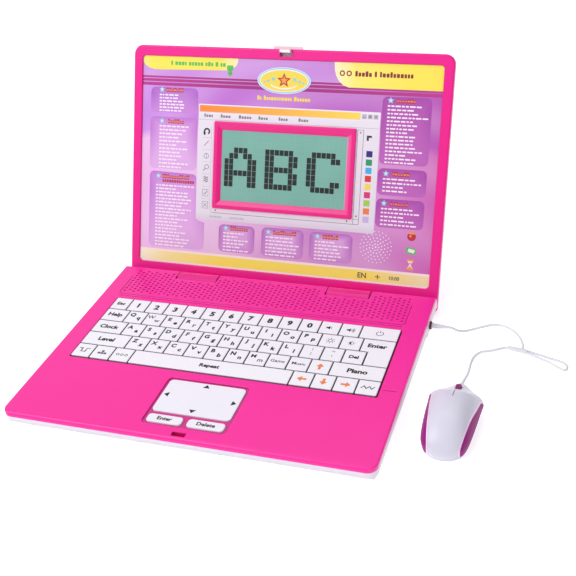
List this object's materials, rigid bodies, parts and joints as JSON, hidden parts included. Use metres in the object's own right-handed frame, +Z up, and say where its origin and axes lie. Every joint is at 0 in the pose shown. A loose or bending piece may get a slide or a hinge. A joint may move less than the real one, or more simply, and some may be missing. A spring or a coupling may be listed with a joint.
{
  "type": "toy laptop computer with mouse",
  "caption": "Children's toy laptop: hinged lid with printed activity panel and small screen, full keyboard, rocking touchpad, and a wired two-button mouse.",
  "frame": {"origin": "centre of the whole set's footprint, on the desk", "axes": "+X to the user's right, +Y away from the user towards the lid, +Z up from the desk"},
  "size_m": [0.4596, 0.3543, 0.2337],
  "materials": {
    "pink_plastic": "satin moulded ABS, hot pink",
    "white_plastic": "satin moulded ABS, white",
    "key_white": "fine matt keycap with printed legends",
    "pad_white": "fine matt, printed arrows",
    "latch_white": "gloss",
    "printed_panel": "printed styrene sheet, gloss",
    "lcd": "reflective liquid-crystal cell, green-grey",
    "screw_steel": "zinc plated",
    "pin_steel": "drawn",
    "spring_steel": "nickel plated",
    "cell_jacket": "printed sleeve, plain",
    "foot_rubber": "matt",
    "circuit_board": "solder mask",
    "dome_silicone": "matt silicone",
    "speaker_black": "paper cone and steel basket",
    "socket_black": "moulded",
    "cable_white": "soft PVC",
    "mouse_white": "satin",
    "grip_magenta": "satin",
    "wheel_magenta": "ribbed"
  },
  "bodies": {
    "base": {"base_top_shell": "pink_plastic", "base_bottom_shell": "white_plastic", "batteries": "cell_jacket", "battery_contacts": "spring_steel", "rubber_feet": "foot_rubber", "case_screws": "screw_steel", "hinge_pins": "pin_steel", "main_board": "circuit_board", "keypad_mat": "dome_silicone", "speaker": "speaker_black", "mouse_jack": "socket_black"},
    "battery_door": {"battery_door": "white_plastic", "battery_door_screw": "screw_steel"},
    "lid": {"lid_front_bezel": "pink_plastic", "lid_back_cover": "pink_plastic", "activity_panel": "printed_panel", "lcd_frame": "pink_plastic", "lcd_glass": "lcd", "lcd_board": "circuit_board", "lid_screws": "screw_steel", "latch_spring": "spring_steel"},
    "latch": {"latch": "latch_white"},
    "touchpad": {"touchpad": "pad_white"},
    "pad_enter_button": {"pad_enter_button": "pad_white"},
    "pad_delete_button": {"pad_delete_button": "pad_white"},
    "plug": {"mouse_plug": "cable_white", "cable_lead": "cable_white"},
    "cable_coil": {"cable_tie": "cable_white", "cable_bundle": "cable_white"},
    "mouse": {"mouse_base": "mouse_white", "mouse_top_shell": "mouse_white", "mouse_side_grips": "grip_magenta", "mouse_board": "circuit_board", "mouse_feet": "foot_rubber", "cable_tail": "cable_white"},
    "mouse_wheel": {"mouse_wheel": "wheel_magenta"},
    "mouse_left_button": {"mouse_left_button": "mouse_white"},
    "mouse_right_button": {"mouse_right_button": "mouse_white"},
    "key_esc": {"key_esc": "key_white"},
    "number_keys": {"number_keys": "key_white"},
    "volume_keys": {"volume_keys": "key_white"},
    "key_power": {"key_power": "key_white"},
    "key_help": {"key_help": "key_white"},
    "top_letter_keys": {"top_letter_keys": "key_white"},
    "key_brightness": {"key_brightness": "key_white"},
    "key_contrast": {"key_contrast": "key_white"},
    "key_enter": {"key_enter": "key_white"},
    "key_clock": {"key_clock": "key_white"},
    "home_letter_keys": {"home_letter_keys": "key_white"},
    "key_delete": {"key_delete": "key_white"},
    "key_level": {"key_level": "key_white"},
    "bottom_letter_keys": {"bottom_letter_keys": "key_white"},
    "mode_keys": {"mode_keys": "key_white"},
    "key_arrow_up": {"key_arrow_up": "key_white"},
    "key_piano": {"key_piano": "key_white"},
    "game_keys": {"game_keys": "key_white"},
    "key_repeat": {"key_repeat": "key_white"},
    "key_arrow_left": {"key_arrow_left": "key_white"},
    "key_arrow_down": {"key_arrow_down": "key_white"},
    "key_arrow_right": {"key_arrow_right": "key_white"}
  },
  "joints": [
    {"name": "lid_hinge", "type": "hinge", "parent": "base", "child": "lid", "pos_m": [-0.0648, 0.0671, 0.01305], "axis": [1, 0, 0], "range_deg": [-5, 111.7]},
    {"name": "latch_press", "type": "slide", "parent": "lid", "child": "latch", "axis": [0, -0.3697, -0.9291], "range_m": [0, 0.0015], "stiffness_N_per_m": 300, "deforming": ["latch_spring"]},
    {"name": "esc_press", "type": "slide", "parent": "base", "child": "key_esc", "axis": [0, 0, -1], "range_m": [0, 0.0018], "stiffness_N_per_m": 100, "deforming": ["keypad_mat"]},
    {"name": "number_press", "type": "slide", "parent": "base", "child": "number_keys", "axis": [0, 0, -1], "range_m": [0, 0.0018], "stiffness_N_per_m": 1000, "deforming": ["keypad_mat"]},
    {"name": "volume_press", "type": "slide", "parent": "base", "child": "volume_keys", "axis": [0, 0, -1], "range_m": [0, 0.0018], "stiffness_N_per_m": 200, "deforming": ["keypad_mat"]},
    {"name": "power_press", "type": "slide", "parent": "base", "child": "key_power", "axis": [0, 0, -1], "range_m": [0, 0.0018], "stiffness_N_per_m": 100, "deforming": ["keypad_mat"]},
    {"name": "help_press", "type": "slide", "parent": "base", "child": "key_help", "axis": [0, 0, -1], "range_m": [0, 0.0018], "stiffness_N_per_m": 100, "deforming": ["keypad_mat"]},
    {"name": "top_letter_press", "type": "slide", "parent": "base", "child": "top_letter_keys", "axis": [0, 0, -1], "range_m": [0, 0.0018], "stiffness_N_per_m": 1000, "deforming": ["keypad_mat"]},
    {"name": "brightness_press", "type": "slide", "parent": "base", "child": "key_brightness", "axis": [0, 0, -1], "range_m": [0, 0.0018], "stiffness_N_per_m": 100, "deforming": ["keypad_mat"]},
    {"name": "contrast_press", "type": "slide", "parent": "base", "child": "key_contrast", "axis": [0, 0, -1], "range_m": [0, 0.0018], "stiffness_N_per_m": 100, "deforming": ["keypad_mat"]},
    {"name": "enter_press", "type": "slide", "parent": "base", "child": "key_enter", "axis": [0, 0, -1], "range_m": [0, 0.0018], "stiffness_N_per_m": 100, "deforming": ["keypad_mat"]},
    {"name": "clock_press", "type": "slide", "parent": "base", "child": "key_clock", "axis": [0, 0, -1], "range_m": [0, 0.0018], "stiffness_N_per_m": 100, "deforming": ["keypad_mat"]},
    {"name": "home_letter_press", "type": "slide", "parent": "base", "child": "home_letter_keys", "axis": [0, 0, -1], "range_m": [0, 0.0018], "stiffness_N_per_m": 1100, "deforming": ["keypad_mat"]},
    {"name": "delete_press", "type": "slide", "parent": "base", "child": "key_delete", "axis": [0, 0, -1], "range_m": [0, 0.0018], "stiffness_N_per_m": 100, "deforming": ["keypad_mat"]},
    {"name": "level_press", "type": "slide", "parent": "base", "child": "key_level", "axis": [0, 0, -1], "range_m": [0, 0.0018], "stiffness_N_per_m": 100, "deforming": ["keypad_mat"]},
    {"name": "bottom_letter_press", "type": "slide", "parent": "base", "child": "bottom_letter_keys", "axis": [0, 0, -1], "range_m": [0, 0.0018], "stiffness_N_per_m": 700, "deforming": ["keypad_mat"]},
    {"name": "mode_press", "type": "slide", "parent": "base", "child": "mode_keys", "axis": [0, 0, -1], "range_m": [0, 0.0018], "stiffness_N_per_m": 200, "deforming": ["keypad_mat"]},
    {"name": "arrow_up_press", "type": "slide", "parent": "base", "child": "key_arrow_up", "axis": [0, 0, -1], "range_m": [0, 0.0018], "stiffness_N_per_m": 100, "deforming": ["keypad_mat"]},
    {"name": "piano_press", "type": "slide", "parent": "base", "child": "key_piano", "axis": [0, 0, -1], "range_m": [0, 0.0018], "stiffness_N_per_m": 100, "deforming": ["keypad_mat"]},
    {"name": "game_press", "type": "slide", "parent": "base", "child": "game_keys", "axis": [0, 0, -1], "range_m": [0, 0.0018], "stiffness_N_per_m": 400, "deforming": ["keypad_mat"]},
    {"name": "repeat_press", "type": "slide", "parent": "base", "child": "key_repeat", "axis": [0, 0, -1], "range_m": [0, 0.0018], "stiffness_N_per_m": 100, "deforming": ["keypad_mat"]},
    {"name": "arrow_left_press", "type": "slide", "parent": "base", "child": "key_arrow_left", "axis": [0, 0, -1], "range_m": [0, 0.0018], "stiffness_N_per_m": 100, "deforming": ["keypad_mat"]},
    {"name": "arrow_down_press", "type": "slide", "parent": "base", "child": "key_arrow_down", "axis": [0, 0, -1], "range_m": [0, 0.0018], "stiffness_N_per_m": 100, "deforming": ["keypad_mat"]},
    {"name": "arrow_right_press", "type": "slide", "parent": "base", "child": "key_arrow_right", "axis": [0, 0, -1], "range_m": [0, 0.0018], "stiffness_N_per_m": 100, "deforming": ["keypad_mat"]},
    {"name": "touchpad_rock", "type": "hinge", "parent": "base", "child": "touchpad", "pos_m": [-0.066, -0.1245, 0.0226], "axis": [1, 0, 0], "range_deg": [-1.2, 1.2], "stiffness_Nm_per_rad": 0.6, "deforming": ["keypad_mat"]},
    {"name": "pad_enter_press", "type": "slide", "parent": "base", "child": "pad_enter_button", "axis": [0, 0, -1], "range_m": [0, 0.001], "stiffness_N_per_m": 100, "deforming": ["keypad_mat"]},
    {"name": "pad_delete_press", "type": "slide", "parent": "base", "child": "pad_delete_button", "axis": [0, 0, -1], "range_m": [0, 0.001], "stiffness_N_per_m": 100, "deforming": ["keypad_mat"]},
    {"name": "battery_door_lift", "type": "slide", "parent": "base", "child": "battery_door", "axis": [0, 0, -1], "range_m": [0, 0.02]},
    {"name": "plug_pull", "type": "slide", "parent": "base", "child": "plug", "axis": [1, 0, 0], "range_m": [0, 0.018]},
    {"name": "cable_slide", "type": "slide", "parent": "plug", "child": "cable_coil", "axis": [1, 0, 0], "range_m": [-0.012, 0.04], "deforming": ["cable_lead"]},
    {"name": "mouse_slide", "type": "slide", "parent": "cable_coil", "child": "mouse", "axis": [0, 1, 0], "range_m": [-0.035, 0.035], "deforming": ["cable_tail"]},
    {"name": "mouse_wheel_spin", "type": "hinge", "parent": "mouse", "child": "mouse_wheel", "pos_m": [0.14221, -0.0524, 0.0109], "axis": [0.9999, -0.014, 0], "continuous": true},
    {"name": "mouse_left_click", "type": "hinge", "parent": "mouse", "child": "mouse_left_button", "pos_m": [0.14183, -0.0795, 0.024], "axis": [-0.9999, 0.014, 0], "range_deg": [0, 0.6], "stiffness_Nm_per_rad": 0.5},
    {"name": "mouse_right_click", "type": "hinge", "parent": "mouse", "child": "mouse_right_button", "pos_m": [0.14183, -0.0795, 0.024], "axis": [-0.9999, 0.014, 0], "range_deg": [0, 0.6], "stiffness_Nm_per_rad": 0.5}
  ]
}
